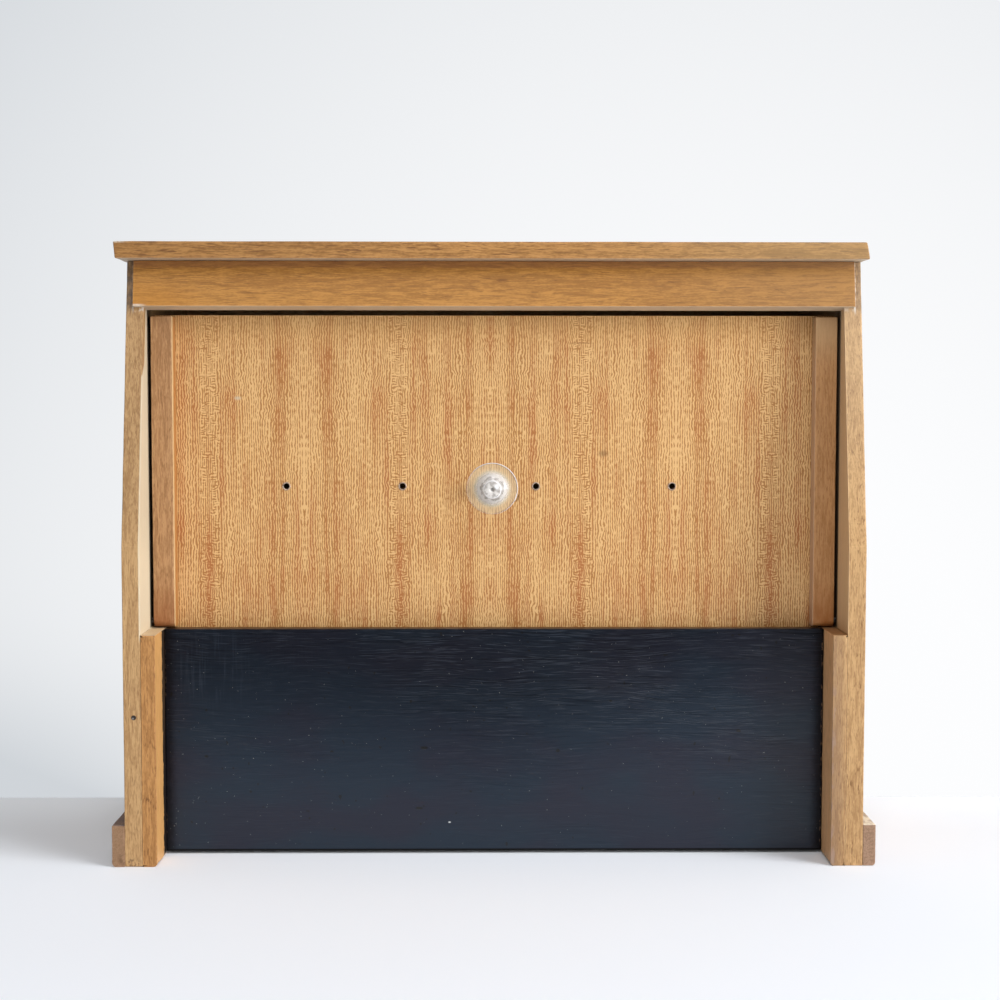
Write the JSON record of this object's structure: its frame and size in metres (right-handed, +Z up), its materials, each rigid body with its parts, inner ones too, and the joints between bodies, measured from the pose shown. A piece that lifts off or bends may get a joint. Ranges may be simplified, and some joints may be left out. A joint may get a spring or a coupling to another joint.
{
  "type": "bobbin box",
  "caption": "Table-top wooden bobbin box with leaning upper front edges, a drop-down flap with thread eyelets and a clear suction-cup pull, and bobbin spindles inside.",
  "frame": {"origin": "middle of the box's footprint, on the surface it stands on", "axes": "+X to the right across the front, +Y to the back (the flap faces -Y), +Z up"},
  "size_m": [0.445, 0.17, 0.3626],
  "materials": {
    "golden_wood": "thin satin varnish",
    "top_wood": "thin satin varnish",
    "orange_wood": "thin satin varnish",
    "foot_wood": "bare sawn wood",
    "plain_wood": "bare wood",
    "blue_black_paint": "brushed satin paint over wood",
    "printed_panel": "satin printed wood-grain surface on board",
    "stile_wood": "thin satin varnish",
    "steel": "dull",
    "eyelet_metal": "darkened",
    "clear_vinyl": "clear soft vinyl"
  },
  "bodies": {
    "case": {"side_left": "golden_wood", "side_right": "golden_wood", "top_board": "top_wood", "front_rail": "orange_wood", "lining_left": "orange_wood", "lining_right": "golden_wood", "front_board": "blue_black_paint", "bottom_board": "plain_wood", "back_panel": "plain_wood", "foot_rail_left": "foot_wood", "foot_rail_right": "foot_wood", "stop_strip_left": "plain_wood", "stop_strip_right": "plain_wood", "pivot_pin_left": "steel", "pivot_pin_right": "steel", "top_nails": "steel", "foot_nails": "steel", "spindle_1": "plain_wood", "spindle_2": "plain_wood", "spindle_3": "plain_wood", "spindle_4": "plain_wood"},
    "flap": {"flap_panel": "printed_panel", "flap_stile_left": "stile_wood", "flap_stile_right": "stile_wood", "eyelet_1": "eyelet_metal", "eyelet_2": "eyelet_metal", "eyelet_3": "eyelet_metal", "eyelet_4": "eyelet_metal", "suction_cup": "clear_vinyl"}
  },
  "joints": [
    {"name": "flap_hinge", "type": "hinge", "parent": "case", "child": "flap", "pos_m": [0, -0.049, 0.1399], "axis": [1, 0, 0], "range_deg": [0, 90]}
  ]
}
